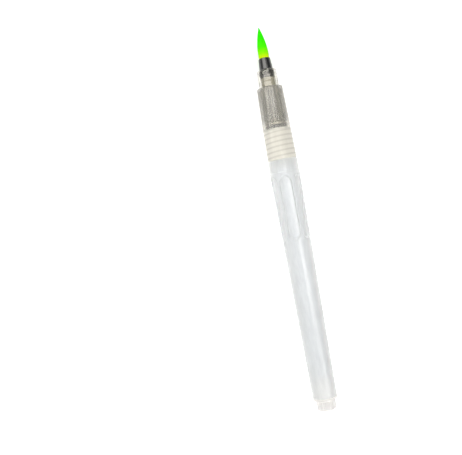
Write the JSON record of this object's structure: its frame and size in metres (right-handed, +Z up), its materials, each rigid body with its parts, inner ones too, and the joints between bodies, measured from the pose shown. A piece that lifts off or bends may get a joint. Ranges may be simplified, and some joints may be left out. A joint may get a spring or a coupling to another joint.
{
  "type": "water brush pen",
  "caption": "Uncapped refillable water brush pen with a soft squeeze barrel, screw-on grip section, clear nose, black ferrule and a pointed green bristle tuft.",
  "frame": {"origin": "middle of the pen's length, under its axis, on the surface that the barrel's widest ring rests on", "axes": "+X along the pen's axis towards the brush tip, +Z up, +Y to the left when looking along +X"},
  "size_m": [0.1492, 0.0116, 0.0115],
  "materials": {
    "barrel_milky": "milky translucent, satin",
    "plug_translucent": "translucent, glossy",
    "section_frosted": "translucent with fine inner grooves",
    "nose_clear": "clear, glossy",
    "ferrule_black": "black, glossy",
    "seal_rubber": "dark rubber, matte",
    "insert_white": "off-white, satin",
    "sleeve_translucent": "translucent, satin",
    "wick_fibre": "bundled fibre",
    "root_cream": "bonded nylon hair",
    "tuft_green": "green nylon hair, yellow at the base"
  },
  "bodies": {
    "barrel": {"barrel": "barrel_milky"},
    "tail": {"tail_plug": "plug_translucent"},
    "seal": {"seal_ring": "seal_rubber"},
    "head": {"grip_section": "section_frosted", "nose_collar": "nose_clear", "ferrule": "ferrule_black", "flow_plug": "insert_white", "wick_sleeve": "sleeve_translucent", "feed_wick": "wick_fibre", "bristle_root": "root_cream"},
    "tuft": {"bristle_tuft": "tuft_green"}
  },
  "joints": [
    {"name": "head_travel", "type": "slide", "parent": "barrel", "child": "seal", "axis": [1, 0, 0], "range_m": [0, 0.00833]},
    {"name": "head_turn", "type": "hinge", "parent": "seal", "child": "head", "pos_m": [0.03552, 0, 0.00576], "axis": [1, 0, 0], "range_deg": [0, 1620]},
    {"name": "tail_plug_pull", "type": "slide", "parent": "barrel", "child": "tail", "axis": [-1, 0, 0], "range_m": [0, 0.008]},
    {"name": "tuft_bend", "type": "hinge", "parent": "head", "child": "tuft", "pos_m": [0.0625, 0, 0.00576], "axis": [0, 1, 0], "range_deg": [-25, 25], "stiffness_Nm_per_rad": 0.006}
  ],
  "couplings": [
    {"joint": "head_turn", "follows": "head_travel", "rad_per_m": 3396.3}
  ]
}
